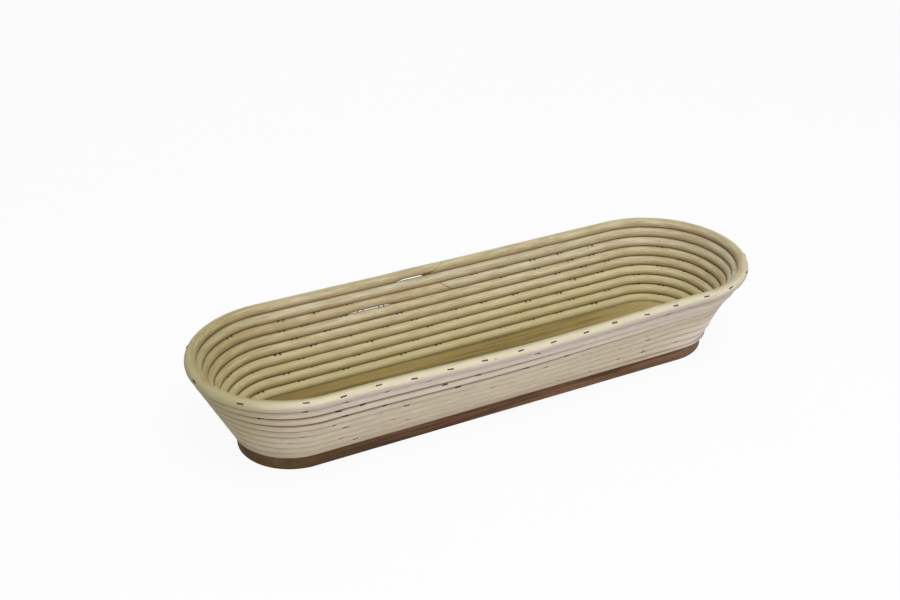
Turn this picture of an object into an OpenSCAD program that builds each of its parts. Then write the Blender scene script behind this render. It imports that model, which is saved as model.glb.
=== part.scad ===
// Long proofing basket: round cane wound in a spiral up from the ledge of a wooden
// base board, closed by a rim of its own and held by wire staples. Millimetres, +Z up,
// origin in the middle of the board's underside, +X along the basket.

/* [Plan] */
// Length of the straight stretch between the two round ends
straight_length = 276; // [200:4:360]
// Bend radius of the lowest turn, to the middle of the cane
first_turn_radius = 35.8; // [28:0.2:46]
// How far the long sides bow outward at the rim, half way along
side_bow = 1.9; // [0:0.1:3]
// How far the long sides dip at the rim, half way along
side_dip = 1.6; // [0:0.1:3]

/* [Board] */
// Height of the board's outer edge, up to the ledge
board_edge_height = 9.2; // [8:0.2:14]
// Height of the floor above the ledge
floor_rise = 2.8; // [1:0.1:3.2]
// How far the first turn overhangs the board's edge
overhang = 2.4; // [0.5:0.1:2.6]
// Clearance between the first turn and the board
seat_clearance = 0.2; // [0.1:0.05:0.4]

/* [Cane] */
// Diameter of the cane
cane_diameter = 6.5; // [5.5:0.1:8]
// Slit between one row and the next
row_gap = 0.5; // [0.5:0.05:0.8]
// Turns of the spiral below the rim
turns = 8; // [6:1:10]
// Slope of the wall above the level, in degrees
wall_angle = 63.2; // [55:0.2:72]
// Stretch in which a turn climbs by one row, in quarters of a turn from the tip of the right end
climb_stretch = 0.9; // [0.8:0.05:1.2]

/* [Cane ends] */
// Thickness of the shaved tips at the start and end of the spiral
tip_thickness = 1.2; // [1:0.1:2.5]
// Extra clearance shaved off half way along a taper
taper_relief = 0.5; // [0.5:0.05:0.8]
// Turn in which, on the near side, the first length ends
near_joint_turn = 4; // [2:1:4]
// Place of that joint along the near side
near_joint_x = -102; // [-110:2:-60]
// Turn in which, on the far side, the second length ends
far_joint_turn = 6; // [5:1:6]
// Place of that joint along the far side
far_joint_x = 2; // [-60:1:60]
// Place of the rim's joint along the far side
rim_joint_x = -8; // [-60:1:60]
// Slit between the two cut ends of a joint, along the cane
joint_gap = 0.9; // [0.8:0.1:1.5]
// Slant of a cut in the wall, as run along the cane for each millimetre of rise
joint_slant = 1.4; // [0.5:0.1:2]
// Slant of the cut in the rim
rim_slant = 2.4; // [0.5:0.1:2.8]

/* [Staples] */
// Width of a staple over its legs
crown_width = 5; // [4:0.1:8]
// Thickness of the staple wire
staple_wire = 0.8; // [0.6:0.1:1.2]
// Length of the legs
leg_length = 13.2; // [10:0.2:14]
// Distance from one staple to the next along a row
staple_spacing = 24.7; // [20:0.1:40]
// Angle out from straight up at which a crown lies on the cane
crown_angle = 68; // [50:1:80]
// Lean of the legs into the basket, away from the wall's slope
leg_lean = 17; // [5:1:25]
// Height of a crown above the cane's surface
crown_rise = 0.2; // [0.1:0.05:0.5]

/* [Hidden] */
$fn = 96;

// One turn has four quarters: near side, left end, far side, right end. The winding is
// counted in them from the tip of the right end, which is half way round the last one.
QUARTERS = 4;
RIGHT_TIP = 3.5;
sides = 10;
side_steps = 6;
bend_steps = 12;
half_straight = straight_length / 2;
cane_radius = cane_diameter / 2;
row_pitch = cane_diameter + row_gap;
first_turn_height = board_edge_height + seat_clearance + cane_radius;
rim_level = turns + 1;
board_radius = first_turn_radius + cane_radius - overhang;
floor_radius = first_turn_radius - cane_radius - seat_clearance;

// Share of the climb after which a taper has reached its tip thickness
taper_fall = row_pitch - 4 * taper_relief;
tip_root = sqrt(taper_fall * taper_fall + 16 * taper_relief * (tip_thickness + row_gap));
tip_share = (tip_root - taper_fall) / (8 * taper_relief);

// Places of the cuts along the winding
spiral_start = climb_stretch * tip_share;
near_joint = QUARTERS * near_joint_turn + near_place(near_joint_x);
far_joint = QUARTERS * far_joint_turn + far_place(far_joint_x);
spiral_end = QUARTERS * turns + climb_stretch * (1 - tip_share);
// Share of the climb below which the first taper is too thin for a staple
bare_taper = 0.75;
rim_start = far_place(rim_joint_x);
joint_share = joint_gap / straight_length / 2;

// Rings stand evenly along each quarter, and those of a turn are sorted from the right tip
ring_quarters = [
    for (q = [0 : QUARTERS - 1])
        let (steps = q % 2 == 0 ? side_steps : bend_steps)
        for (i = [0 : steps - 1]) q + i / steps
];
ring_places = concat(
    [for (q = ring_quarters) if (q >= RIGHT_TIP) q - RIGHT_TIP],
    [for (q = ring_quarters) if (q < RIGHT_TIP) q - RIGHT_TIP + QUARTERS]
);
rings_per_turn = len(ring_places);
// Rings closer to a cut than this share of a quarter are left out
cut_margin = cane_diameter * (1 + max(joint_slant, rim_slant)) / straight_length;

function quarter(place) = (place + RIGHT_TIP) % QUARTERS;
function near_place(x) = QUARTERS - RIGHT_TIP + (half_straight - x) / straight_length;
function far_place(x) = QUARTERS - RIGHT_TIP + 2 + (half_straight + x) / straight_length;
function row_radius(level) = first_turn_radius + (level - 1) * row_pitch * cos(wall_angle);
function row_height(level) = first_turn_height + (level - 1) * row_pitch * sin(wall_angle);

// Heading of the path, 0 on the near side, and the axis that each end bends round
function heading(q) = q < 1 ? 0 : q < 2 ? 180 * (1 - q) : q < 3 ? -180 : 180 * (2 - q);
function bend_x(q) =
    q < 1 ? half_straight - q * straight_length :
    q < 2 ? -half_straight :
    q < 3 ? (q - 2) * straight_length - half_straight : half_straight;
function outward(q) = [sin(heading(q)), -cos(heading(q)), 0];
function along(q) = [-cos(heading(q)), -sin(heading(q)), 0];

// Bowing of a long side: none at its ends and at the board, full half way along the rim
function bowed(q, level) =
    floor(q) % 2 == 1 ? 0 : pow(sin(180 * (q - floor(q))), 2) * (level - 1) / (rim_level - 1);
function cane_middle(q, level, lift) =
    let (bow = bowed(q, level))
    [bend_x(q), 0, row_height(level) - side_dip * bow + lift]
        + (row_radius(level) + side_bow * bow) * outward(q);

// Share of a row by which the turn at a place has climbed
function climbed(place) = min((place % QUARTERS) / climb_stretch, 1);

// Thickness of a shaved end where the row beside it has moved by a share of one row
function taper(share) = row_pitch * share - row_gap - 4 * taper_relief * share * (1 - share);

// One section of cane: an upright ellipse, leaned along the cane where it is cut
function cane_ring(q, level, thickness, lift, slant) = [
    for (i = [0 : sides - 1])
        let (angle = 360 * (i + 0.5) / sides, rise = thickness / 2 * sin(angle))
        cane_middle(q, level, lift) + cane_radius * cos(angle) * outward(q)
            + [0, 0, rise] + slant * rise * along(q)
];

// A section of the spiral, which climbs by one row at the beginning of each turn
function spiral_ring(place, slant = 0) =
    let (
        turn = floor(place / QUARTERS),
        climb = climbed(place),
        starts = turn == 0,
        ends = turn == turns,
        level = starts ? 1 : ends ? turns : turn + climb,
        thickness = starts ? taper(climb) : ends ? taper(1 - climb) : cane_diameter,
        shaved = (cane_diameter - thickness) / 2
    )
    cane_ring(quarter(place), level, thickness, starts ? -shaved : ends ? shaved : 0, slant);

function rim_ring(place, slant = 0) =
    cane_ring(quarter(place), rim_level, cane_diameter, 0, slant);

function places_between(start, end) = [
    for (turn = [0 : turns], q = ring_places)
        let (place = QUARTERS * turn + q)
        if (place > start + cut_margin && place < end - cut_margin) place
];

function spiral_rings(start, end, start_slant, end_slant) = concat(
    [spiral_ring(start, start_slant)],
    [for (place = places_between(start, end)) spiral_ring(place)],
    [spiral_ring(end, end_slant)]
);

first_rings = spiral_rings(spiral_start, near_joint - joint_share, 0, -joint_slant);
second_rings = spiral_rings(near_joint + joint_share, far_joint - joint_share, -joint_slant, -joint_slant);
third_rings = spiral_rings(far_joint + joint_share, spiral_end, -joint_slant, 0);
rim_end = rim_start + QUARTERS;
rim_rings = concat(
    [rim_ring(rim_start + joint_share, rim_slant)],
    [for (place = places_between(rim_start, rim_end)) rim_ring(place)],
    [rim_ring(rim_end - joint_share, rim_slant)]
);

// Least distance between the points of two rings, and of a winding to its next turn
function ring_gap(a, b) = min([for (p = a, q = b) norm(p - q)]);
function winding_gap(rings) = min([
    for (i = [1 : len(rings) - rings_per_turn - 2], j = [-1 : 1])
        ring_gap(rings[i], rings[i + rings_per_turn + j])
]);

module swept_cane(rings) {
    last = len(rings) - 1;
    walls = [
        for (r = [0 : last - 1], i = [0 : sides - 1])
            let (a = r * sides + i, b = r * sides + (i + 1) % sides)
            each [[a, a + sides, b], [b, a + sides, b + sides]]
    ];
    caps = [
        for (i = [1 : sides - 2])
            each [[0, i, i + 1], [last * sides, last * sides + i + 1, last * sides + i]]
    ];
    polyhedron(points = [for (ring = rings) each ring], faces = concat(walls, caps));
}

module stadium(radius) {
    square([straight_length, 2 * radius], center = true);
    for (end = [-1, 1])
        translate([end * half_straight, 0])
            circle(r = radius);
}

// A staple with the top of its crown on the origin and its legs down
module staple() {
    outside = crown_width / 2;
    inside = outside - staple_wire;
    rotate([90, 0, 0])
        linear_extrude(staple_wire, center = true)
            polygon([
                [-outside, 0],
                [outside, 0],
                [outside, -leg_length],
                [inside, -leg_length],
                [inside, -staple_wire],
                [-inside, -staple_wire],
                [-inside, -leg_length],
                [-outside, -leg_length]
            ]);
}

// Staple driven into the row at a place and level, from the outside down into the wall
module driven_staple(q, level) {
    translate(cane_middle(q, level, 0))
        rotate([0, 0, heading(q)])
            rotate([crown_angle, 0, 0])
                translate([0, 0, cane_radius + crown_rise])
                    rotate([90 - wall_angle + leg_lean - crown_angle, 0, 0])
                        staple();
}

// Shares of a stretch at which its staples stand. A bend always has one in its middle,
// and the staples of one straight stretch stand between those of the rows beside it.
function straight_shares(level) =
    let (count = round(straight_length / staple_spacing), first = level % 2 == 0 ? 0.4 : 0.9)
    [for (i = [0 : count - 1]) (i + first) / count];
function bend_shares(level) =
    let (count = 2 * floor(PI * row_radius(level) / staple_spacing / 2) + 1)
    [for (i = [0 : count - 1]) (i + 0.5) / count];
function staple_places(level) = [
    for (q = [0 : QUARTERS - 1], share = q % 2 == 0 ? straight_shares(level) : bend_shares(level))
        (q + share - RIGHT_TIP + QUARTERS) % QUARTERS
];

// No staple straddles a cut, and the thin part of the first taper has none
function clear_of(place, cut, slant) =
    abs(place - cut) * straight_length > crown_width + slant * cane_diameter;

module spiral_staples(start, end) {
    for (turn = [0 : turns - 1], turn_place = staple_places(turn + 1)) {
        place = QUARTERS * turn + turn_place;
        stapled = place > max(start, bare_taper * climb_stretch) && place < end;
        if (stapled && clear_of(place, start, joint_slant) && clear_of(place, end, joint_slant))
            driven_staple(quarter(place), turn == 0 ? 1 : turn + climbed(place));
    }
}

module base_board() {
    color("saddlebrown") {
        linear_extrude(board_edge_height)
            stadium(board_radius);
        linear_extrude(board_edge_height + floor_rise)
            stadium(floor_radius);
    }
}

module first_cane() {
    echo(first_cane_least_gap = winding_gap(first_rings));
    color("burlywood")
        swept_cane(first_rings);
}

module second_cane() {
    echo(second_cane_least_gap = winding_gap(second_rings));
    color("tan")
        swept_cane(second_rings);
}

module third_cane() {
    echo(third_cane_least_gap = winding_gap(third_rings));
    color("wheat")
        swept_cane(third_rings);
}

module rim_cane() {
    echo(rim_cane_least_gap = ring_gap(rim_rings[0], rim_rings[len(rim_rings) - 1]));
    color("khaki")
        swept_cane(rim_rings);
}

module first_cane_staples() {
    color("dimgray")
        spiral_staples(spiral_start, near_joint);
}

module second_cane_staples() {
    color("gray")
        spiral_staples(near_joint, far_joint);
}

module third_cane_staples() {
    color("slategray")
        spiral_staples(far_joint, spiral_end);
}

module rim_staples() {
    color("darkgray")
        for (place = staple_places(rim_level))
            if (clear_of(place, rim_start, rim_slant))
                driven_staple(quarter(place), rim_level);
}

base_board();
first_cane();
second_cane();
third_cane();
rim_cane();
first_cane_staples();
second_cane_staples();
third_cane_staples();
rim_staples();
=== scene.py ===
# %% [markdown]
# # A long proofing basket of wound cane
# A proofing basket holds bread dough while it rises. Round cane is wound in a spiral up
# from the ledge of a wooden board, each row is stapled to the row below it, and a rim of
# its own closes the top. The packed model comes in first as a fixed frame, in metres, and
# everything here is dressed around it in the same place.

import bisect
import math
import random

import bmesh
import bpy
from mathutils import Matrix, Quaternion, Vector, kdtree, noise


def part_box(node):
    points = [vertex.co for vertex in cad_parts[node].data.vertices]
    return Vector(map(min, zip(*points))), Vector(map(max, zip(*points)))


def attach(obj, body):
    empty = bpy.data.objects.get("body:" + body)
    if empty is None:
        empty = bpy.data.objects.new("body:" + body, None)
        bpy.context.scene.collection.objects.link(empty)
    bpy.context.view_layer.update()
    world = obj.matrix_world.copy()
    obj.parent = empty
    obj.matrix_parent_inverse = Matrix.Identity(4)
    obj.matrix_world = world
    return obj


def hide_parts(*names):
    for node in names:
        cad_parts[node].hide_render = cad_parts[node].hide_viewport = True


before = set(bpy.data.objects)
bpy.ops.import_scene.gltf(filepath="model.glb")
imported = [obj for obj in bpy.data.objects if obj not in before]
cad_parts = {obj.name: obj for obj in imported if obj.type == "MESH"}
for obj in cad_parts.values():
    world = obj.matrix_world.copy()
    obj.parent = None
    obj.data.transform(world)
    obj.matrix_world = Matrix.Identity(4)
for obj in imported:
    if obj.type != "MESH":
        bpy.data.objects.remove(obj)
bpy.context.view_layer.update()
MM = 0.001

# %% [markdown]
# ## The line that the cane follows
# Seen from above, the cane runs along the near side, round the left end, along the far
# side and round the right end. A turn is counted in those four quarters, and a place on
# the spiral is counted from the tip of the right end. At its beginning a turn climbs by
# one row, until two fifths of the near side, and then it stays level. A stack of rings
# would be simpler, but the real rows are a true spiral.

# %% Driving sizes of the winding
QUARTERS = 4
RIGHT_TIP = 3.5
TURNS = 8
RIM_LEVEL = TURNS + 1
CANE_RADIUS = 3.7 * MM
ROW_PITCH = 7.0 * MM
WALL_ANGLE = math.radians(63.2)
CLIMB_STRETCH = 0.9
FIRST_TURN_RADIUS = 35.8 * MM
FIRST_TURN_HEIGHT = 12.65 * MM

board_low, board_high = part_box("base_board")
BOARD_RADIUS = (board_high.y - board_low.y) / 2
STRAIGHT = (board_high.x - board_low.x) - 2 * BOARD_RADIUS
HALF_STRAIGHT = STRAIGHT / 2
print("straight side", round(STRAIGHT / MM, 1), "board radius", round(BOARD_RADIUS / MM, 2))


# %% Rows and quarters
def row_radius(level):
    return FIRST_TURN_RADIUS + (level - 1) * ROW_PITCH * math.cos(WALL_ANGLE)


def row_height(level):
    return FIRST_TURN_HEIGHT + (level - 1) * ROW_PITCH * math.sin(WALL_ANGLE)


def quarter_at(place):
    return (place + RIGHT_TIP) % QUARTERS


def climbed(place):
    """Share of a row by which a turn has climbed at a place."""
    return min(place % QUARTERS / CLIMB_STRETCH, 1)


def heading(quarter):
    """Turn of the path about the upright axis: none on the near side, half a turn on the far side."""
    left_bend = min(max(quarter - 1, 0), 1)
    right_bend = max(quarter - 3, 0)
    return -math.pi * (left_bend + right_bend)


def bend_middle(quarter):
    """Place along the basket of the point that the path stands off from."""
    near = min(quarter, 1)
    far = min(max(quarter - 2, 0), 1)
    return HALF_STRAIGHT + STRAIGHT * (far - near)


rim_size = [round(x / MM, 1) for x in (row_height(RIM_LEVEL), row_radius(RIM_LEVEL))]
print("rim height and radius in mm:", rim_size)

# %% [markdown]
# ## A wall wound by hand
# Such a wall is never quite straight. The long sides bow out and sag towards the rim, the
# left half of the near side bulges, and the near corner of the right end is hollow. The
# finished mesh could be pushed about, but here the line itself is moved, so the cane, the
# staples and their marks all follow it.

# %% Bowed sides and bulges
SIDE_BOW = 1.9 * MM
SIDE_DIP = 1.6 * MM
# Row by row, how many millimetres out and up the full bulge moves the cane
BULGE_OUT = [0, 0.8, 1.7, 2.6, 3.0, 2.8, 2.1, 0.2, 0]
BULGE_UP = [0, -0.35, -0.8, -1.25, -1.4, -1.2, -0.8, -0.1, 0]
# Quarter of the turn, and how much of the bulge there is
BULGE_ALONG = [
    (0.0, -0.7),
    (0.25, 0.0),
    (0.55, 0.5),
    (1.0, 0.5),
    (1.4, 0.0),
    (3.6, 0.0),
    (3.8, -0.7),
    (4.0, -0.7),
]


def smooth(share):
    """From 0 to 1 with a gentle start and end."""
    return share * share * (3 - 2 * share)


def eased_between(stops, x):
    """Value at x of a line through stops, rounded at each of them."""
    for (x0, y0), (x1, y1) in zip(stops, stops[1:]):
        if x <= x1:
            return y0 + (y1 - y0) * smooth((x - x0) / (x1 - x0))
    return stops[-1][1]


def bulged(quarter, level, row_by_row):
    below = min(int(level), RIM_LEVEL - 1)
    moved = row_by_row[below - 1] + (level - below) * (row_by_row[below] - row_by_row[below - 1])
    return moved * MM * eased_between(BULGE_ALONG, quarter)


def bowed(quarter, level):
    """Bowing of a long side: none at its ends and at the board, full half way along the rim."""
    if int(quarter) % 2:
        return 0.0
    return math.sin(math.pi * (quarter % 1)) ** 2 * (level - 1) / (RIM_LEVEL - 1)


near_rows = [round(bulged(0.75, level, BULGE_OUT) / MM, 2) for level in range(1, RIM_LEVEL + 1)]
print("bulge of the near rows in mm:", near_rows)

# %% [markdown]
# ## The shaved ends of the spiral
# A spiral would leave a step at its start and at its end. The real cane is shaved to a
# wedge there, so the board below and the rim above stay level. The same is done here with
# a thickness that changes along the line, and the rim is a level ring of its own.

# %% Where the cane lies at a place
UPWARD = Vector((0, 0, 1))
THINNEST = 0.12
TAPER_HOLLOW = 0.22


def taper(share):
    """Thickness left of a shaved end, beside a row that has moved by this share."""
    return max(THINNEST, share - TAPER_HOLLOW * share * (1 - share))


def spiral_spot(place):
    """Level, thickness and lift of the spiral at a place counted in quarters."""
    turn = min(int(place // QUARTERS), TURNS)
    climb = climbed(place)
    if turn == 0:
        thickness = taper(climb)
        return 1, thickness, (thickness - 1) * CANE_RADIUS
    if turn == TURNS:
        thickness = taper(1 - climb)
        return TURNS, thickness, (1 - thickness) * CANE_RADIUS
    return turn + climb, 1, 0


def rim_spot(place):
    return RIM_LEVEL, 1, 0


def local_frame(quarter, level, lift=0):
    """Middle of the cane and its outward direction."""
    turned = heading(quarter)
    bow = bowed(quarter, level)
    outward = Vector((math.sin(turned), -math.cos(turned), 0))
    height = row_height(level) - SIDE_DIP * bow + bulged(quarter, level, BULGE_UP) + lift
    radius = row_radius(level) + SIDE_BOW * bow + bulged(quarter, level, BULGE_OUT)
    return Vector((bend_middle(quarter), 0, height)) + radius * outward, outward


near_rim = local_frame(0.5, RIM_LEVEL)[0]
print("middle of the near rim:", [round(x / MM, 1) for x in near_rim])

# %% [markdown]
# ## Where the cane is cut
# The wall takes three lengths of cane and the rim a fourth. Two of the slanted joints can
# be found in the photo, one in the rim and one in the third row from the top, and each
# cut leans its own way. One endless cane would be easier, but the joints are what shows
# that the basket was wound.

# %% The four lengths of cane
JOINT_GAP = 0.6 * MM
PATH_STEP = 0.01
SLANT = 1.4
RIM_SLANT = 2.0


def near_place(x):
    return QUARTERS - RIGHT_TIP + (HALF_STRAIGHT - x) / STRAIGHT


def far_place(x):
    return QUARTERS - RIGHT_TIP + 2 + (HALF_STRAIGHT + x) / STRAIGHT


NEAR_JOINT = QUARTERS * 4 + near_place(-102 * MM)
FAR_JOINT = QUARTERS * 6 + far_place(2 * MM)
RIM_JOINT = far_place(-7 * MM)
SPIRAL_START = CLIMB_STRETCH * 0.27
SPIRAL_END = QUARTERS * TURNS + CLIMB_STRETCH * 0.95
# Half of the gap in a joint that stands open and in one that is nearly closed
SLIT = JOINT_GAP / STRAIGHT / 2
CLOSED = 0.3 * SLIT

# name: path, first and last place, slant of the cut at each end
LENGTHS = {
    "first_cane": (spiral_spot, SPIRAL_START, NEAR_JOINT - CLOSED, 0, -SLANT),
    "second_cane": (spiral_spot, NEAR_JOINT + CLOSED, FAR_JOINT - SLIT, -SLANT, -SLANT),
    "third_cane": (spiral_spot, FAR_JOINT + SLIT, SPIRAL_END, -SLANT, 0),
    "rim_cane": (rim_spot, RIM_JOINT + CLOSED, RIM_JOINT + QUARTERS - CLOSED, RIM_SLANT, RIM_SLANT),
}


def measured_path(spot, start, end):
    """Places along a path, each with its distance from the start."""
    count = math.ceil((end - start) / PATH_STEP)
    places = [start + (end - start) * i / count for i in range(count + 1)]
    distances = [0.0]
    before = None
    for place in places:
        level, _, lift = spot(place)
        point = local_frame(quarter_at(place), level, lift)[0]
        if before is not None:
            distances.append(distances[-1] + (point - before).length)
        before = point
    return places, distances


paths = {name: measured_path(spot, start, end) for name, (spot, start, end, *_) in LENGTHS.items()}
for name, (places, distances) in paths.items():
    print(name, "runs for", round(distances[-1], 3), "m")

# %% [markdown]
# ## Staples
# Wire staples are driven from outside through one row and into the row below it. The
# crown lies on the outside as a short dark dash, and the two points just come through
# inside, in the groove below, as a pair of dark dots. They are worked out before the cane
# because the cane is dented and stained where they went in. A fixed step would look like
# a machine's work, so a seeded draw sets them a little unevenly.

# %% Places of the staples along the rows
CROWN_WIDTH = 4.3 * MM
STAPLE_SPACING = 24.7 * MM
UNEVEN = 0.2
RIM_UNEVEN = 0.05
# Where a row's first staple stands, in steps: on a side, in an even or odd row, and in a bend
FIRST_ON_SIDE = (0.4, 0.9)
FIRST_IN_BEND = (0.45, 0.65)
# The rim's staples in each quarter: how many, the first one's share of the quarter, and the step
RIM_STAPLES = [(12, 0.015, 0.087), (5, 0.073, 0.2), (11, 0.06, 0.087), (7, 0.049, 0.143)]
hand = random.Random(5)


def row_places(level):
    """Places in a turn at which the staples of a row stand, as unevenly as a hand sets them."""
    found = []
    for quarter in range(QUARTERS):
        if quarter % 2 == 0:
            count = round(STRAIGHT / STAPLE_SPACING)
            first = FIRST_ON_SIDE[level % 2]
        else:
            count = 2 * int(math.pi * row_radius(level) / STAPLE_SPACING / 2) + 1
            first = hand.uniform(*FIRST_IN_BEND)
        for i in range(count):
            share = (i + first + hand.uniform(-UNEVEN, UNEVEN)) / count
            found.append((quarter + share - RIGHT_TIP) % QUARTERS)
    return found


def rim_places():
    found = []
    for quarter, (count, first, step) in enumerate(RIM_STAPLES):
        for i in range(count):
            share = first + step * (i + hand.uniform(-RIM_UNEVEN, RIM_UNEVEN))
            found.append((quarter + share - RIGHT_TIP) % QUARTERS)
    return found


def clear_of(place, cut, slant):
    return abs(place - cut) * STRAIGHT > CROWN_WIDTH + slant * 2 * CANE_RADIUS


print("staples on a long side of a row:", round(STRAIGHT / STAPLE_SPACING))

# %% How each staple leans
WIRE = 0.75 * MM
LEG_LENGTH = 14.5 * MM
CROWN_RISE = -0.15 * MM
BARE_TAPER = 0.75
TWIST = math.radians(8)
# Angles out from straight up, least and most: crowns on the rim, on its near side, where they
# sit higher, on a row and on a row in a bend, then points on the row below, and in a bend
RIM_CROWN = (math.radians(62), math.radians(70))
NEAR_RIM_CROWN = (math.radians(36), math.radians(60))
ROW_CROWN = (math.radians(44), math.radians(71))
BEND_CROWN = (math.radians(35), math.radians(63))
POINTS = (math.radians(-134), math.radians(-120))
BEND_POINTS = (math.radians(-158), math.radians(-126))
# Quarters at which the rim's near side begins and ends, with a little of the bends
NEAR_RIM_FROM = 3.8
NEAR_RIM_TO = 1.2


def staple_matrix(quarter, level):
    """Places a staple, crown at the origin and legs down, by the angles of its crown and points."""
    on_rim = NEAR_RIM_CROWN if quarter < NEAR_RIM_TO or quarter > NEAR_RIM_FROM else RIM_CROWN
    in_bend = int(quarter) % 2 == 1
    on_row = BEND_CROWN if in_bend else ROW_CROWN
    crown = hand.uniform(*(on_rim if level == RIM_LEVEL else on_row))
    point = hand.uniform(*(BEND_POINTS if in_bend else POINTS))
    stand = CANE_RADIUS + CROWN_RISE
    inward = stand * math.sin(crown) + ROW_PITCH * math.cos(WALL_ANGLE) - CANE_RADIUS * math.sin(point)
    down = stand * math.cos(crown) + ROW_PITCH * math.sin(WALL_ANGLE) - CANE_RADIUS * math.cos(point)
    return (
        Matrix.Translation(local_frame(quarter, level)[0])
        @ Matrix.Rotation(heading(quarter), 4, "Z")
        @ Matrix.Rotation(crown, 4, "X")
        @ Matrix.Translation((0, 0, stand))
        @ Matrix.Rotation(math.atan2(inward, down) - crown, 4, "X")
        @ Matrix.Rotation(hand.uniform(-TWIST, TWIST), 4, "Z")
    )


staples = {name: [] for name in LENGTHS}
for turn in range(TURNS):
    for turn_place in row_places(turn + 1):
        place = QUARTERS * turn + turn_place
        level = 1 if turn == 0 else turn + climbed(place)
        for name in ("first_cane", "second_cane", "third_cane"):
            _, start, end, *_ = LENGTHS[name]
            inside = max(start, BARE_TAPER * CLIMB_STRETCH) < place < end
            if inside and clear_of(place, start, SLANT) and clear_of(place, end, SLANT):
                staples[name].append(staple_matrix(quarter_at(place), level))
for place in rim_places():
    if clear_of(place, RIM_JOINT, RIM_SLANT):
        staples["rim_cane"].append(staple_matrix(quarter_at(place), RIM_LEVEL))
print("staples:", {name: len(found) for name, found in staples.items()})

# %% Trees that find the nearest staple mark
all_staples = [matrix for found in staples.values() for matrix in found]
crown_spots = [Vector((share * CROWN_WIDTH, 0, 0)) for share in (-0.4, -0.2, 0, 0.2, 0.4)]
point_spots = [Vector((side * (CROWN_WIDTH - WIRE) / 2, 0, -LEG_LENGTH)) for side in (-1, 1)]


def mark_tree(spots):
    points = [matrix @ spot for matrix in all_staples for spot in spots]
    tree = kdtree.KDTree(len(points))
    for i, point in enumerate(points):
        tree.insert(point, i)
    tree.balance()
    return tree


crown_tree = mark_tree(crown_spots)
point_tree = mark_tree(point_spots)
print("marks:", len(all_staples) * len(crown_spots), len(all_staples) * len(point_spots))

# %% [markdown]
# ## The straight cane
# A swept curve would do, but a real basket starts with a straight stick, and so does this
# one: a capped cylinder is cut into rings, and its ends are sliced on the slant. Each cut
# is closed with a face that takes the darker finish of end grain. The tip of the rim's
# first cut has split off, which leaves a dark nick.

# %% A straight stick with slanted ends
SIDES = 20
RING_STEP = 1.7 * MM
NICK_END = 2.2 * MM


def everything_in(bm):
    return bm.verts[:] + bm.edges[:] + bm.faces[:]


def slice_off(bm, z, normal, trim):
    """Saws through the stick, drops one side and closes the cut with the second finish."""
    plane = {"plane_co": (0, 0, z), "plane_no": Vector(normal).normalized(), trim: True}
    cut = bmesh.ops.bisect_plane(bm, geom=everything_in(bm), **plane)
    outline = [g for g in cut["geom_cut"] if isinstance(g, bmesh.types.BMEdge)]
    for face in bmesh.ops.holes_fill(bm, edges=outline)["faces"]:
        face.material_index = 1
    for edge in outline:
        edge.smooth = False


def straight_stick(length, start_slant, end_slant):
    """A stick along Z from 0 to length. X is outward and Y upward on the basket."""
    spare = 4 * CANE_RADIUS
    bm = bmesh.new()
    bmesh.ops.create_cone(
        bm,
        cap_ends=True,
        segments=SIDES,
        radius1=CANE_RADIUS,
        radius2=CANE_RADIUS,
        depth=length + 2 * spare,
        matrix=Matrix.Translation((0, 0, length / 2)),
    )
    lengthwise = [e for e in bm.edges if abs(e.verts[0].co.z - e.verts[1].co.z) > length / 2]
    cuts = math.ceil(length / RING_STEP)
    bmesh.ops.subdivide_edges(bm, edges=lengthwise, cuts=cuts, use_grid_fill=True)
    slice_off(bm, 0, (0, -start_slant, 1), "clear_inner")
    slice_off(bm, length, (0, -end_slant, 1), "clear_outer")
    return bm


def break_tip(bm, slant):
    """Splits the inner half of the pointed tip off a slanted start."""
    tip = slant * CANE_RADIUS
    slice_off(bm, -tip, (tip - NICK_END, 0, CANE_RADIUS), "clear_inner")


print("stick:", SIDES, "sides, a ring every", round(RING_STEP / MM, 1), "mm")

# %% [markdown]
# ## Bows, wear and painted shade
# The rows don't lie close on each other everywhere. In a few stretches a row has bowed up
# or is worn thin on its underside, so a slit shows below it, and a row's outer top below
# such a slit is painted brown as shade. Sculpting by hand would do the same, but a list of
# stretches can be read and changed.

# %% Stretches of cane that have moved, worn or been painted with shade
# How soon a stretch reaches its full amount, then the places after five, six and seven turns
FULL_SOON = 1.6
AFTER_5 = QUARTERS * 5
AFTER_6 = QUARTERS * 6
AFTER_7 = QUARTERS * 7
RIM_END = RIM_JOINT + QUARTERS
FAR_SLIT = (AFTER_6 + far_place(-84 * MM), AFTER_6 + far_place(-32 * MM))

# Each stretch has its first and last place, and how high the row has bowed up
BOWS = {
    "first_cane": [(0.18, 0.62, 1.3 * MM)],
    "second_cane": [
        (NEAR_JOINT - 0.02, NEAR_JOINT + 0.4, 0.35 * MM),
        (AFTER_6 + near_place(135 * MM), AFTER_6 + near_place(-80 * MM), 0.1 * MM),
        (*FAR_SLIT, 0.2 * MM),
    ],
    "rim_cane": [(RIM_END - 0.14, RIM_END + 0.06, 0.3 * MM)],
}
# How much of the underside is worn away
WORN = {
    "second_cane": [(AFTER_6 + 0.3, AFTER_6 + 2.0, 0.3 * MM), (*FAR_SLIT, 0.85 * MM)],
    "third_cane": [(AFTER_7 + 0.3, AFTER_7 + 1.8, 0.2 * MM)],
    "rim_cane": [(RIM_END - 0.13, RIM_END + 0.045, 1.0 * MM)],
}
# How strongly the outer top below a slit is painted with shade, from 0 to 1
SLIT_SHADE_STRETCHES = {
    "first_cane": [(0.2, 0.62, 1.0), (QUARTERS, QUARTERS + 0.5, 1.0)],
    "second_cane": [(AFTER_5 + 0.3, AFTER_5 + 2.0, 1.0), (AFTER_6 + 0.3, AFTER_6 + 1.8, 0.35)],
}


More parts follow.
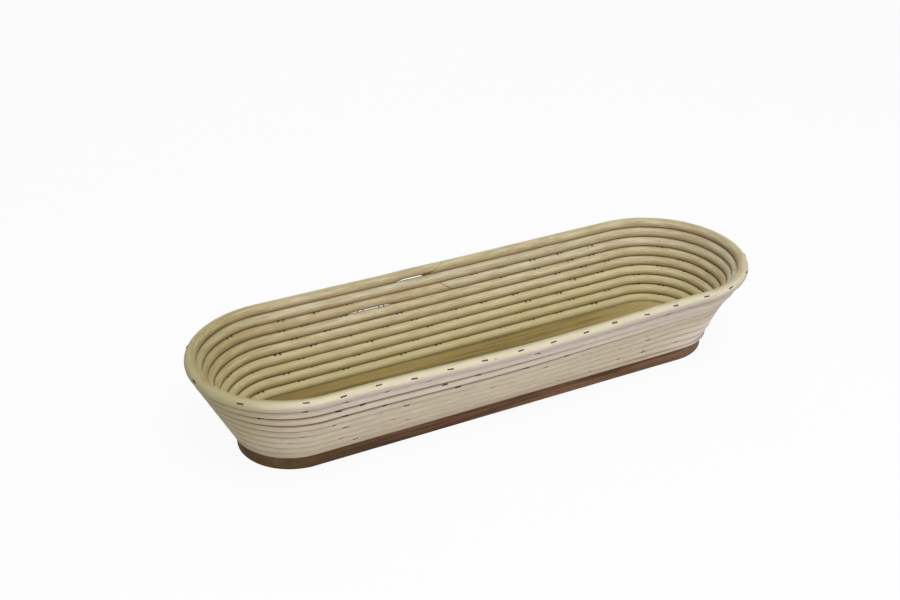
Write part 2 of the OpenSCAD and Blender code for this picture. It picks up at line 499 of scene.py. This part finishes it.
def swollen(stretches, name, place):
    """Sum at a place of a cane's stretches, which rise and fall again smoothly."""
    total = 0.0
    for first, last, most in stretches.get(name, []):
        share = min(max((place - first) / (last - first), 0), 1)
        total += most * min(1, FULL_SOON * math.sin(math.pi * share) ** 2)
    return total


for title, stretches in (("bowed", BOWS), ("worn", WORN), ("dusty", SLIT_SHADE_STRETCHES)):
    print(title, "stretches:", sum(len(found) for found in stretches.values()))

# %% [markdown]
# ## Winding
# Every point of the straight stick is moved to its place on the spiral. Its place on the
# stick is kept as an attribute, so the grain can follow the cane round every bend without
# a seam. Other attributes keep which way the surface faces, and how near it is to a
# staple's crown, to a point or to a stretch with painted shade below a slit, because the
# finish needs them later.

# %% Wind a stick onto the spiral
HALO = 3.0 * MM
POINT_STAIN = 1.55 * MM
DENT = 0.12 * MM
DRIFT = 0.07 * MM
DRIFT_LENGTH = 45 * MM
SWELLING = 0.012
SWELLING_LENGTH = 30 * MM
UP_THE_WALL_SEED = 40


def falloff(distance, reach):
    return smooth(max(0.0, 1 - distance / reach))


def wobble(run, seed):
    """A slow sideways drift of the cane, a few hundredths of a millimetre."""
    return DRIFT * noise.noise(Vector((run / DRIFT_LENGTH, seed, 0.5)))


def place_after(name, run):
    """Place on the path of a length of cane, at a distance from its start."""
    places, distances = paths[name]
    i = min(max(bisect.bisect(distances, run), 1), len(distances) - 1)
    share = (run - distances[i - 1]) / (distances[i] - distances[i - 1])
    return places[i - 1] + share * (places[i] - places[i - 1])


def wind(bm, name, seed):
    """Bends a straight stick onto its path and writes down what its finish needs to know."""
    spot = LENGTHS[name][0]
    stick = bm.verts.layers.float_vector.new("stick")
    slope = bm.verts.layers.float.new("slope")
    stapled = bm.verts.layers.float.new("stapled")
    pierced = bm.verts.layers.float.new("pierced")
    # How strongly the outer top below a slit is painted with shade
    dusty = bm.verts.layers.float.new("dusty")
    for vert in bm.verts:
        out, up, run = vert.co
        place = place_after(name, run)
        level, thickness, lift = spot(place)
        middle, outward = local_frame(quarter_at(place), level, lift)
        up_the_wall = math.cos(WALL_ANGLE) * outward + math.sin(WALL_ANGLE) * UPWARD
        swell = 1 + SWELLING * noise.noise(Vector((run / SWELLING_LENGTH, seed, 7.5)))
        around = outward * out + UPWARD * up * thickness
        under = max(0.0, -around.normalized().dot(up_the_wall))
        around += up_the_wall * swollen(WORN, name, place) * under * under
        risen = wobble(run, seed + UP_THE_WALL_SEED) + swollen(BOWS, name, place)
        point = middle + around * swell + outward * wobble(run, seed) + up_the_wall * risen
        vert[stick] = (run + seed, out, up)
        vert[slope] = (outward * out + UPWARD * up).normalized().dot(up_the_wall)
        vert[stapled] = falloff(crown_tree.find(point)[2], HALO)
        vert[pierced] = falloff(point_tree.find(point)[2], POINT_STAIN)
        vert[dusty] = swollen(SLIT_SHADE_STRETCHES, name, place)
        vert.co = point - DENT * vert[stapled] * around.normalized()


half_way = place_after("first_cane", paths["first_cane"][1][-1] / 2)
print("half way along the first cane is place", round(half_way, 2))

# %% [markdown]
# ## Writing finishes as sums
# A finish is a small graph of nodes. It could be wired by hand in the shader editor, but
# this wrapper lets a number that changes over a surface be added to and multiplied like
# any other number in Python, and every other node comes from one method.


# %% Amounts that change over a surface
class Amount:
    """A number that changes over a surface: an output socket that can be reckoned with."""

    def __init__(self, finish, socket):
        self.finish = finish
        self.socket = socket

    def reckon(self, operation, first, second):
        return self.finish.node("ShaderNodeMath", {"operation": operation}, {0: first, 1: second})

    def __add__(self, other):
        return self.reckon("ADD", self, other)

    def __sub__(self, other):
        return self.reckon("SUBTRACT", self, other)

    def __rsub__(self, other):
        return self.reckon("SUBTRACT", other, self)

    def __mul__(self, other):
        return self.reckon("MULTIPLY", self, other)

    __radd__ = __add__
    __rmul__ = __mul__


print("an amount can be added, subtracted and multiplied")


# %% Finishes and their nodes
class Finish:
    """A material and the nodes behind it."""

    def __init__(self, name):
        self.material = bpy.data.materials.new(name)
        self.material.use_nodes = True
        self.tree = self.material.node_tree
        self.surface = self.tree.nodes["Principled BSDF"]

    def plug(self, socket, value):
        if isinstance(value, Amount):
            self.tree.links.new(value.socket, socket)
        else:
            socket.default_value = value

    def node(self, kind, settings=None, inputs=None, output=0):
        made = self.tree.nodes.new(kind)
        for key, value in (settings or {}).items():
            setattr(made, key, value)
        for key, value in (inputs or {}).items():
            self.plug(made.inputs[key], value)
        return Amount(self, made.outputs[output])

    def attribute(self, name, output):
        return self.node("ShaderNodeAttribute", {"attribute_name": name}, output=output)

    def stretched(self, vector, scale):
        return self.node("ShaderNodeMapping", inputs={"Vector": vector, "Scale": scale})

    def noise(self, vector, scale, detail=2.0, roughness=0.5):
        inputs = {"Vector": vector, "Scale": scale, "Detail": detail, "Roughness": roughness}
        return self.node("ShaderNodeTexNoise", inputs=inputs)

    def ease(self, value, low, high, to_low=0.0, to_high=1.0):
        inputs = {"Value": value, "From Min": low, "From Max": high, "To Min": to_low, "To Max": to_high}
        return self.node("ShaderNodeMapRange", {"interpolation_type": "SMOOTHSTEP"}, inputs)

    def blend(self, factor, first, second, mode="MIX"):
        settings = {"data_type": "RGBA", "blend_type": mode}
        return self.node("ShaderNodeMix", settings, {0: factor, 6: first, 7: second}, output=2)

    def finish(self, color, roughness, height, depth):
        """Plugs in the colour, the roughness and the fine relief of the surface."""
        bump = self.node("ShaderNodeBump", inputs={"Height": height, "Distance": depth, "Strength": 1.0})
        self.plug(self.surface.inputs["Base Color"], color)
        self.plug(self.surface.inputs["Roughness"], roughness)
        self.plug(self.surface.inputs["Normal"], bump)
        return self.material


def paint(red, green, blue):
    return (red, green, blue, 1.0)


print("a finish offers:", [name for name in vars(Finish) if not name.startswith("_")])

# %% [markdown]
# ## Grain of pith cane
# Pith cane is pale and dull, with fine fibres along its length, darker pores and slow
# drifts of colour from one stick to the next. A picture of fibres would repeat, so noise
# is stretched along the straight stick instead, where along and across are simple.

# %% What the cane's finish can look up
# Waves to the metre along and across the stick, then detail and roughness of the noise
GRAIN = {
    "slow": (2.2, 10, 1.0, 0.5),
    "drift": (14, 90, 3.0, 0.6),
    "blotch": (60, 190, 3.0, 0.6),
    "streak": (42, 800, 4.0, 0.7),
    "fibre": (80, 1700, 2.0, 0.6),
    "pore": (260, 2300, 1.0, 0.5),
    "speck": (170, 420, 2.0, 0.5),
}


class Cane(Finish):
    """A finish that knows the grain of the stick and where on the basket it lies."""

    def __init__(self, name):
        super().__init__(name)
        self.stick = self.attribute("stick", "Vector")
        across = self.node("ShaderNodeSeparateXYZ", inputs={0: self.stick}, output=1)
        place = self.node("ShaderNodeTexCoord", output="Object")
        self.along = self.node("ShaderNodeSeparateXYZ", inputs={0: place}, output=0)
        self.height = self.node("ShaderNodeSeparateXYZ", inputs={0: place}, output=2)
        self.slope = self.attribute("slope", "Fac")
        self.inside = self.ease(across, 0.6 * CANE_RADIUS, -0.3 * CANE_RADIUS)
        self.outside = 1 - self.inside
        self.left_end = self.ease(self.along, -100 * MM, -175 * MM)
        self.left_tip = self.ease(self.along, -150 * MM, -195 * MM)
        self.slow, self.drift, self.blotch, self.streak, self.fibre, pore, speck = map(self.grain, GRAIN)
        self.pore = self.ease(pore, 0.68, 0.78)
        self.speck = self.ease(speck, 0.7, 0.78)
        self.stapled = self.attribute("stapled", "Fac")
        self.torn = self.ease(self.stapled + 0.5 * self.streak, 0.55, 1.1)

    def grain(self, kind):
        along, across, detail, roughness = GRAIN[kind]
        return self.noise(self.stretched(self.stick, (along, across, across)), 1.0, detail, roughness)


print("kinds of grain:", list(GRAIN))

# %% [markdown]
# ## Age and painted light on the cane
# The inside is painted yellower towards the floor as bounce light, the outside is greyer
# and darker towards the board, and each end has a tint of its own; the left end is painted
# darker as shade and the low right end of the outside lighter as painted light. The grooves
# between the rows are brown with dust and painted shade, the lower side of each row is
# painted browner as shade, the upper outside rows carry a painted lilac highlight, and
# round a staple the fibres are torn, pale and stained with rust. Each mark is one colour
# laid over the last through a mask, like a thin glaze, so that any of them can be changed alone.

# %% Tints by place, some of them painted light and shade
# Painted bounce light: yellow laid on the inside, stronger towards the floor
FLOOR_BOUNCE_YELLOW = paint(0.57, 0.50, 0.235)
# Painted shade: brown laid on the lower side of each row and on a cane's upper inside rows
SHADE_BROWN = paint(0.35, 0.245, 0.11)
OLD_YELLOW = paint(0.52, 0.46, 0.26)
PINKISH = paint(0.46, 0.38, 0.325)
# Painted highlight for the upper outside rows
LILAC_HIGHLIGHT = paint(0.62, 0.555, 0.505)
# Darker colour for the outside towards the board
DARKER_LOW_OUTSIDE = paint(0.36, 0.27, 0.19)
# Painted light for the low right end of the outside, which the hollow leaves in shade
LOW_RIGHT_LIGHT = paint(0.70, 0.635, 0.575)
# Height over which the painted shade of the upper inside rows fades in
SHADE_RAMP = 3 * MM


def tinted(cane, color, outside, open_above, shade_above):
    """Tints of the inside and of the outside, by the height and the place along the basket; some are
    painted bounce light, shade and highlights.
    """
    # Painted bounce light: the inside is painted yellower towards the floor
    color = cane.blend(0.6 * cane.inside * cane.ease(cane.height, 45 * MM, 16 * MM), color, FLOOR_BOUNCE_YELLOW)
    # Painted shade: the upper inside rows of a cane are painted browner
    if shade_above:
        upper = cane.ease(cane.height, shade_above, shade_above + SHADE_RAMP)
        color = cane.blend(0.38 * cane.inside * upper, color, SHADE_BROWN)
    color = cane.blend(0.8 * cane.outside, color, outside)
    color = cane.blend(0.4 * cane.outside * cane.left_tip, color, OLD_YELLOW)
    if open_above:
        flank = cane.ease(cane.slope, 0.92, 0.4)
        return cane.blend(cane.outside * (1 - 0.7 * cane.left_tip) * flank, color, PINKISH)
    upper_rows = cane.ease(cane.height, 42 * MM, 48 * MM)
    # Painted highlight: the upper outside rows are painted a light lilac
    color = cane.blend(0.38 * cane.outside * (1 - cane.left_end) * upper_rows, color, LILAC_HIGHLIGHT)
    # The outside is painted darker towards the board
    color = cane.blend(0.5 * cane.outside * cane.ease(cane.height, 17 * MM, 10 * MM), color, DARKER_LOW_OUTSIDE)
    # Painted light: the low right end of the outside is painted lighter against the shade of the hollow
    low_right = cane.ease(cane.along, 100 * MM, 170 * MM) * cane.ease(cane.height, 38 * MM, 26 * MM)
    return cane.blend(0.85 * cane.outside * low_right, color, LOW_RIGHT_LIGHT)


print("tints by place:", len((FLOOR_BOUNCE_YELLOW, SHADE_BROWN, OLD_YELLOW, PINKISH, LILAC_HIGHLIGHT, DARKER_LOW_OUTSIDE, LOW_RIGHT_LIGHT)))

# %% Dust, rust, wear and painted shade
FLOURED = paint(0.66, 0.61, 0.49)
STAIN = paint(0.22, 0.15, 0.08)
# Groove colours, inside and outside: dust and painted shade
INNER_GROOVE_DUST_AND_SHADE = paint(0.22, 0.10, 0.03)
OUTER_GROOVE_DUST_AND_SHADE = paint(0.205, 0.122, 0.06)
# Painted shade: the left end is multiplied darker with this colour
LEFT_END_SHADE = paint(0.66, 0.64, 0.43)
PIERCED = paint(0.045, 0.03, 0.018)


def crease(cane, open_above):
    """Mask of the dust and painted shade in the groove below a row and, where another row lies on it,
    the one above.
    """
    below = cane.ease(cane.slope, -0.68, -0.95)
    if open_above:
        return below
    lower_rows = cane.ease(cane.height, 16 * MM, 40 * MM, 0.35, 1.0)
    upper_rows = cane.ease(cane.height, 52 * MM, 58 * MM, 1.0, 0.35)
    # Dust and painted shade in the grooves of the outside, stronger in the middle rows and at the left
    # end
    outer = lower_rows * upper_rows * cane.ease(cane.slope, 0.74, 0.95)
    outer = outer + 0.6 * cane.left_end * cane.ease(cane.slope, 0.6, 0.86)
    # Painted shade: the outer top below a slit, and the low rows beside the gap over the board, are
    # painted dark
    dusty = cane.attribute("dusty", "Fac")
    dusty_top = cane.ease(cane.slope, 0.58, 0.84) * cane.ease(cane.height, 15 * MM, 20 * MM)
    lifted = cane.ease(cane.slope, 0.45, 0.15) * cane.ease(cane.height, 20 * MM, 15 * MM)
    outer = outer + dusty * dusty_top + dusty * lifted
    return below + cane.inside * cane.ease(cane.slope, 0.82, 0.99) + cane.outside * outer


def worn(cane, color, open_above):
    """Flour, pores and specks, then the marks of the staples, then painted shade: the browner lower side
    of each row, the creases, which are dust and painted shade, and the darker left end.
    """
    color = cane.blend(0.3 * cane.ease(cane.blotch, 0.55, 0.7), color, FLOURED)
    color = cane.blend(0.35 * cane.pore, color, STAIN)
    color = cane.blend(0.4 * cane.speck, color, STAIN)
    color = cane.blend(0.5 * cane.torn, color, FLOURED)
    spread = 1.2 * (cane.streak - 0.5) + 0.8 * (cane.blotch - 0.5)
    color = cane.blend(0.5 * cane.ease(cane.stapled + spread, 0.72, 1.0), color, STAIN)
    # Painted shade: the lower side of each row is painted browner, as if lit from above
    shaded = cane.ease(cane.slope + 0.35 * (cane.drift - 0.5), 0.15, -0.95)
    color = cane.blend(0.62 * shaded, color, SHADE_BROWN)
    # Dust and painted shade in the grooves between the rows
    color = cane.blend(0.88 * crease(cane, open_above), color, cane.blend(cane.inside, OUTER_GROOVE_DUST_AND_SHADE, INNER_GROOVE_DUST_AND_SHADE))
    # Painted shade: the left end, inside and out, is painted darker, more so higher up
    left_shade_mask = cane.inside * cane.left_end + cane.outside * cane.left_tip
    left_shade_mask = left_shade_mask * cane.ease(cane.height, 18 * MM, 46 * MM, 0.25, 0.68)
    color = cane.blend(left_shade_mask, color, LEFT_END_SHADE, "MULTIPLY")
    pierced = cane.ease(cane.attribute("pierced", "Fac"), 0.08, 0.5)
    return cane.blend(0.85 * pierced, color, PIERCED)


# Among these marks, the groove colours are dust and painted shade, and the left end's colour is painted
# shade
print("marks of wear:", len((FLOURED, STAIN, INNER_GROOVE_DUST_AND_SHADE, OUTER_GROOVE_DUST_AND_SHADE, LEFT_END_SHADE, PIERCED)))


# %% Finishes of the four canes
def cane_finish(name, pale, dark, outside, open_above=False, shade_above=None):
    cane = Cane(name)
    drifts = 0.15 * cane.slow + 0.15 * cane.drift + 0.1 * cane.blotch
    tone = drifts + 0.35 * cane.streak + 0.25 * cane.fibre
    color = cane.blend(cane.ease(tone, 0.43, 0.57), dark, pale)
    color = tinted(cane, color, outside, open_above, shade_above)
    color = worn(cane, color, open_above)
    relief = 0.5 * cane.fibre + 0.6 * cane.streak - 0.8 * cane.pore + 0.8 * cane.torn
    return cane.finish(color, 0.62 + 0.18 * cane.streak, relief, 0.2 * MM)


def end_grain():
    """The open pores of a cut across the cane, brown with handling."""
    cut = Finish("cane_end_grain")
    place = cut.node("ShaderNodeTexCoord", output="Object")
    pores = cut.noise(place, 1800.0, 3.0, 0.6)
    color = cut.blend(cut.ease(pores, 0.4, 0.6), paint(0.17, 0.09, 0.035), paint(0.38, 0.23, 0.11))
    return cut.finish(color, 0.75 + 0.1 * pores, pores, 0.15 * MM)


cane_finishes = {
    "first_cane": cane_finish(
        "cane_yellowed",
        pale=paint(0.70, 0.63, 0.38),
        dark=paint(0.49, 0.42, 0.23),
        outside=paint(0.50, 0.425, 0.34),
    ),
    "second_cane": cane_finish(
        "cane_tan",
        pale=paint(0.645, 0.575, 0.365),
        dark=paint(0.445, 0.365, 0.20),
        outside=paint(0.49, 0.415, 0.345),
        # painted shade on the inside rows above this height
        shade_above=45.5 * MM,
    ),
    "third_cane": cane_finish(
        "cane_grey",
        pale=paint(0.585, 0.52, 0.345),
        dark=paint(0.40, 0.34, 0.205),
        outside=paint(0.485, 0.41, 0.35),
    ),
    "rim_cane": cane_finish(
        "cane_rim",
        pale=paint(0.545, 0.475, 0.285),
        dark=paint(0.38, 0.305, 0.165),
        outside=paint(0.60, 0.56, 0.40),
        open_above=True,
    ),
}
cut_cane = end_grain()
print("cane finishes:", len(cane_finishes) + 1)

# %% [markdown]
# ## Four lengths of cane in place
# Each stick gets its own length, its own slants and its own seed, is wound onto the line,
# and stands for the solid of the same name. Only the round side is shaded smooth, so the
# sawn ends keep their crisp edge.

# %% Cut, wind and place each cane
MERGED = 0.01 * MM
SEED_STEP = 3.0


def add_piece(name, bm, materials):
    mesh = bpy.data.meshes.new(name)
    bm.to_mesh(mesh)
    bm.free()
    piece = bpy.data.objects.new(name, mesh)
    bpy.context.scene.collection.objects.link(piece)
    for material in materials:
        mesh.materials.append(material)
    print(name, "has", len(mesh.polygons), "faces")
    return piece


for seed, (name, (_, _, _, start_slant, end_slant)) in enumerate(LENGTHS.items()):
    length = paths[name][1][-1]
    bm = straight_stick(length, start_slant, end_slant)
    if name == "rim_cane":
        break_tip(bm, start_slant)
    bmesh.ops.remove_doubles(bm, verts=bm.verts, dist=MERGED)
    wind(bm, name, SEED_STEP * seed)
    for face in bm.faces:
        face.smooth = len(face.verts) <= 4
    piece = add_piece("wound_" + name, bm, [cane_finishes[name], cut_cane])
    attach(piece, "root")
    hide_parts(name)

# %% [markdown]
# ## Staples of dull wire
# The wire was bright once and has gone dark, with spots of rust. One staple is modelled as
# a bar with two of its lower faces drawn out into legs, its edges are rounded, and it is
# then copied to every place worked out above. Bent tubes would be rounder, but at this
# size a few faces are enough.


# %% Staple finish
def wire_finish():
    wire = Finish("staple_wire")
    place = wire.node("ShaderNodeTexCoord", output="Object")
    spots = wire.noise(place, 900.0, 3.0, 0.6)
    rust = wire.ease(spots, 0.45, 0.65)
    color = wire.blend(rust, paint(0.06, 0.033, 0.014), paint(0.12, 0.06, 0.022))
    wire.surface.inputs["Metallic"].default_value = 0.15
    wire.surface.inputs["Specular IOR Level"].default_value = 0.12
    return wire.finish(color, 0.6 + 0.2 * rust, spots, 0.03 * MM)


staple_wire = wire_finish()
print("staple finish:", staple_wire.name)

# %% Staples in place
ROUNDED = 0.25 * WIRE
SHARP = 1.0


def verts_in(geometry):
    return [g for g in geometry if isinstance(g, bmesh.types.BMVert)]


def round_edges(bm, offset, segments):
    """Bevels the edges at which the surface turns by more than about 57 degrees."""
    sharp = [e for e in bm.edges if e.is_manifold and e.calc_face_angle(0) > SHARP]
    bmesh.ops.bevel(
        bm, geom=sharp, offset=offset, segments=segments, profile=0.5, affect="EDGES", material=-1
    )


def one_staple():
    """Crown at the origin, legs down: a bar with two of its lower faces drawn out."""
    bm = bmesh.new()
    bmesh.ops.create_cube(bm, size=1.0)
    bmesh.ops.scale(bm, vec=(CROWN_WIDTH, WIRE, WIRE), verts=bm.verts)
    for side in (-1, 1):
        leg = (side * (CROWN_WIDTH / 2 - WIRE), 0, 0)
        bmesh.ops.bisect_plane(bm, geom=everything_in(bm), plane_co=leg, plane_no=(1, 0, 0))
    under = [f for f in bm.faces if f.normal.z < -0.5]
    lower = [f for f in under if abs(f.calc_center_median().x) > CROWN_WIDTH / 4]
    legs = bmesh.ops.extrude_discrete_faces(bm, faces=lower)["faces"]
    bmesh.ops.translate(bm, vec=(0, 0, WIRE - LEG_LENGTH), verts=[v for f in legs for v in f.verts])
    round_edges(bm, ROUNDED, 1)
    return bm


for name, matrices in staples.items():
    bm = one_staple()
    pattern = everything_in(bm)
    for matrix in matrices[1:]:
        copied = bmesh.ops.duplicate(bm, geom=pattern)["geom"]
        bmesh.ops.transform(bm, matrix=matrix, verts=verts_in(copied))
    bmesh.ops.transform(bm, matrix=matrices[0], verts=verts_in(pattern))
    bmesh.ops.recalc_face_normals(bm, faces=bm.faces)
    piece = add_piece("driven_" + name + "_staples", bm, [staple_wire])
    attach(piece, "root")
    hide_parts("rim_staples" if name == "rim_cane" else name + "_staples")

# %% [markdown]
# ## Base board
# The board is solid wood with the grain along the basket. Its edge is stained dark and
# reddish, with a darker left end and a lighter right end that are partly painted shade and
# light, and the floor inside has stayed olive-tan, paler at the right end. The CAD board
# has the right form but knife-sharp edges, so it is drawn again here, from a circle pulled
# apart into a stadium, and its edges are eased, as sandpaper would.


# %% Board finishes
def board_finish(name, pale, dark, left, right, scuffed):
    board = Finish(name)
    place = board.node("ShaderNodeTexCoord", output="Object")
    along = board.node("ShaderNodeSeparateXYZ", inputs={0: place}, output=0)
    waves = board.noise(board.stretched(place, (5, 60, 90)), 1.0, 2.0, 0.5)
    grain = board.noise(board.stretched(place, (14, 420, 520)), 1.0, 4.0, 0.65)
    cloud = board.noise(place, 28.0, 4.0, 0.65)
    pores = board.ease(board.noise(board.stretched(place, (90, 1900, 2200)), 1.0, 2.0), 0.56, 0.7)
    color = board.blend(board.ease(0.4 * waves + 0.6 * grain, 0.4, 0.6), dark, pale)
    uneven = along + 60 * MM * (cloud - 0.5)
    # Tints along the board: on the stained edge the darker left end and lighter right end are partly
    # painted shade and light; the floor is paler at the right end
    color = board.blend(0.7 * board.ease(uneven, -70 * MM, -165 * MM), color, left)
    color = board.blend(0.8 * board.ease(uneven, 90 * MM, 175 * MM), color, right)
    color = board.blend(0.45 * pores, color, dark)
    color = board.blend(0.45 * board.ease(cloud, 0.54, 0.72), color, scuffed)
    board.surface.inputs["Specular IOR Level"].default_value = 0.2
    return board.finish(color, 0.6 + 0.2 * grain, grain - 0.6 * pores, 0.1 * MM)


# The edge's left tint is partly painted shade and its right tint partly painted light
edge_wood = board_finish(
    "stained_edge",
    pale=paint(0.19, 0.094, 0.05),
    dark=paint(0.052, 0.023, 0.011),
    left=paint(0.095, 0.056, 0.016),
    right=paint(0.20, 0.125, 0.07),
    scuffed=paint(0.20, 0.12, 0.068),
)
floor_wood = board_finish(
    "bare_floor",
    pale=paint(0.36, 0.27, 0.097),
    dark=paint(0.18, 0.128, 0.04),
    left=paint(0.235, 0.17, 0.058),
    right=paint(0.52, 0.42, 0.20),
    scuffed=paint(0.31, 0.24, 0.10),
)
print("board finishes:", edge_wood.name, floor_wood.name)

# %% Board in place
LEDGE_HEIGHT = 9.2 * MM
FLOOR_HEIGHT = board_high.z
FLOOR_RADIUS = FIRST_TURN_RADIUS - CANE_RADIUS
ROUND_SEGMENTS = 96
EASED = 0.7 * MM
EASED_SEGMENTS = 3

bm = bmesh.new()
bmesh.ops.create_circle(bm, cap_ends=True, segments=ROUND_SEGMENTS, radius=BOARD_RADIUS)
for vert in bm.verts:
    vert.co.x += math.copysign(HALF_STRAIGHT, vert.co.x)
bmesh.ops.reverse_faces(bm, faces=bm.faces)
edge = bmesh.ops.extrude_edge_only(bm, edges=bm.edges[:])["geom"]
bmesh.ops.translate(bm, vec=(0, 0, LEDGE_HEIGHT), verts=verts_in(edge))
top_edges = [e for e in bm.edges if min(v.co.z for v in e.verts) > LEDGE_HEIGHT / 2]
top = bmesh.ops.contextual_create(bm, geom=top_edges)["faces"]
bmesh.ops.inset_region(bm, faces=top, thickness=BOARD_RADIUS - FLOOR_RADIUS, use_even_offset=True)
raised = bmesh.ops.extrude_face_region(bm, geom=top)["geom"]
bmesh.ops.delete(bm, geom=top, context="FACES_ONLY")
bmesh.ops.translate(bm, vec=(0, 0, FLOOR_HEIGHT - LEDGE_HEIGHT), verts=verts_in(raised))
bmesh.ops.recalc_face_normals(bm, faces=bm.faces)
round_edges(bm, EASED, EASED_SEGMENTS)
for face in bm.faces:
    face.smooth = len(face.verts) <= 4
    face.material_index = 1 if face.calc_center_median().z > LEDGE_HEIGHT + EASED else 0
piece = add_piece("eased_base_board", bm, [edge_wood, floor_wood])
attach(piece, "root")
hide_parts("base_board")

# %% [markdown]
# ## Stage
# A white floor catches a soft shadow. It lies a hair below the board, so the two faces
# don't flicker through each other. At a plain level of light it would look grey, and more
# light would wash out the cane. So the floor and the background show a white of their own,
# which only the camera and mirrors see and which throws no light on the basket.

# %% Floor
FLOOR_GLOW = 0.93
FLOOR_DROP = 0.1 * MM
FLOOR_SIZE = 4.0
WHITE = paint(1, 1, 1)


def seen_straight_or_mirrored(finish):
    """One for rays from the camera and for those in mirrors and glass, none for light on the object."""
    kinds = ("Is Camera Ray", "Is Glossy Ray", "Is Transmission Ray")
    camera, glossy, through = (finish.node("ShaderNodeLightPath", output=kind) for kind in kinds)
    return camera.reckon("MAXIMUM", camera, camera.reckon("MAXIMUM", glossy, through))


def white_floor():
    white = Finish("white_floor")
    glow = white.node("ShaderNodeEmission", inputs={"Color": WHITE, "Strength": 1.0})
    white.surface.inputs["Base Color"].default_value = paint(0.8, 0.8, 0.8)
    white.surface.inputs["Roughness"].default_value = 0.9
    white.surface.inputs["Specular IOR Level"].default_value = 0.0
    plain = Amount(white, white.surface.outputs[0])
    share = FLOOR_GLOW * seen_straight_or_mirrored(white)
    both = white.node("ShaderNodeMixShader", inputs={0: share, 1: plain, 2: glow})
    white.plug(white.tree.nodes["Material Output"].inputs["Surface"], both)
    return white.material


bm = bmesh.new()
below_board = Matrix.Translation((0, 0, -FLOOR_DROP))
bmesh.ops.create_grid(bm, x_segments=1, y_segments=1, size=FLOOR_SIZE, matrix=below_board)
floor = add_piece("floor", bm, [white_floor()])

# %% Background
WORLD_LIGHT = 0.3


class Room(Finish):
    """The world has nodes too, and is written in the same way."""

    def __init__(self, name):
        self.world = bpy.data.worlds.new(name)
        self.world.use_nodes = True
        self.tree = self.world.node_tree


room = Room("white_room")
lit = room.node("ShaderNodeBackground", inputs={"Color": WHITE, "Strength": WORLD_LIGHT})
seen = room.node("ShaderNodeBackground", inputs={"Color": WHITE, "Strength": 1.0})
sky = room.node("ShaderNodeMixShader", inputs={0: seen_straight_or_mirrored(room), 1: lit, 2: seen})
room.plug(room.tree.nodes["World Output"].inputs["Surface"], sky)
bpy.context.scene.world = room.world
print("floor glow", FLOOR_GLOW, "world light", WORLD_LIGHT)

# %% [markdown]
# ## Lamps
# Three large square lamps give plain soft light: one overhead, one low in front for the
# outside of the near wall, and a weaker one behind. Small lamps would draw hard lines of
# shadow between the rows.

# %% Lamps in place
AIM = Vector((0, 0, 30 * MM))


def soft_lamp(name, place, size, watts):
    data = bpy.data.lights.new(name, "AREA")
    data.shape = "SQUARE"
    data.size = size
    data.energy = watts
    lamp = bpy.data.objects.new(name, data)
    lamp.location = place
    lamp.rotation_euler = (AIM - Vector(place)).to_track_quat("-Z", "Y").to_euler()
    bpy.context.scene.collection.objects.link(lamp)


soft_lamp("overhead", (0.0, -0.5, 1.2), 0.8, 10.0)
soft_lamp("low_front", (-0.1, -1.5, 0.4), 1.0, 11.0)
soft_lamp("back_fill", (0.4, 1.6, 1.0), 1.0, 5.0)

# %% [markdown]
# ## Camera
# The camera stands where the photo was taken from, high enough to look into the basket,
# and the lens follows from how much the far end shrinks. Both were found by laying the
# rows of the model over the rows in the photo.

# %% Camera in place
AZIMUTH = math.radians(-27.85)
ELEVATION = math.radians(28.80)
ROLL = math.radians(0.24)
TARGET = Vector((35.68 * MM, 115.19 * MM, 0))
DISTANCE = 1037.3 * MM
FOCAL_PIXELS = 1361.6
IMAGE_WIDTH = 900
SENSOR_WIDTH = 36.0

level_back = Vector((math.sin(AZIMUTH), -math.cos(AZIMUTH), 0))
back = math.cos(ELEVATION) * level_back + math.sin(ELEVATION) * UPWARD
lens = bpy.data.cameras.new("camera")
lens.sensor_width = SENSOR_WIDTH
lens.lens = FOCAL_PIXELS / IMAGE_WIDTH * SENSOR_WIDTH
camera = bpy.data.objects.new("camera", lens)
camera.location = TARGET + back * DISTANCE
camera.rotation_mode = "QUATERNION"
camera.rotation_quaternion = (-back).to_track_quat("-Z", "Y") @ Quaternion((0, 0, 1), ROLL)
bpy.context.scene.collection.objects.link(camera)
bpy.context.scene.camera = camera
bpy.context.scene.view_settings.view_transform = "Standard"
print("camera at", [round(x, 3) for x in camera.location], "lens", round(lens.lens, 1))

# %% [markdown]
# ## Sizes
# The dressed basket has to stay the size of the packed one.
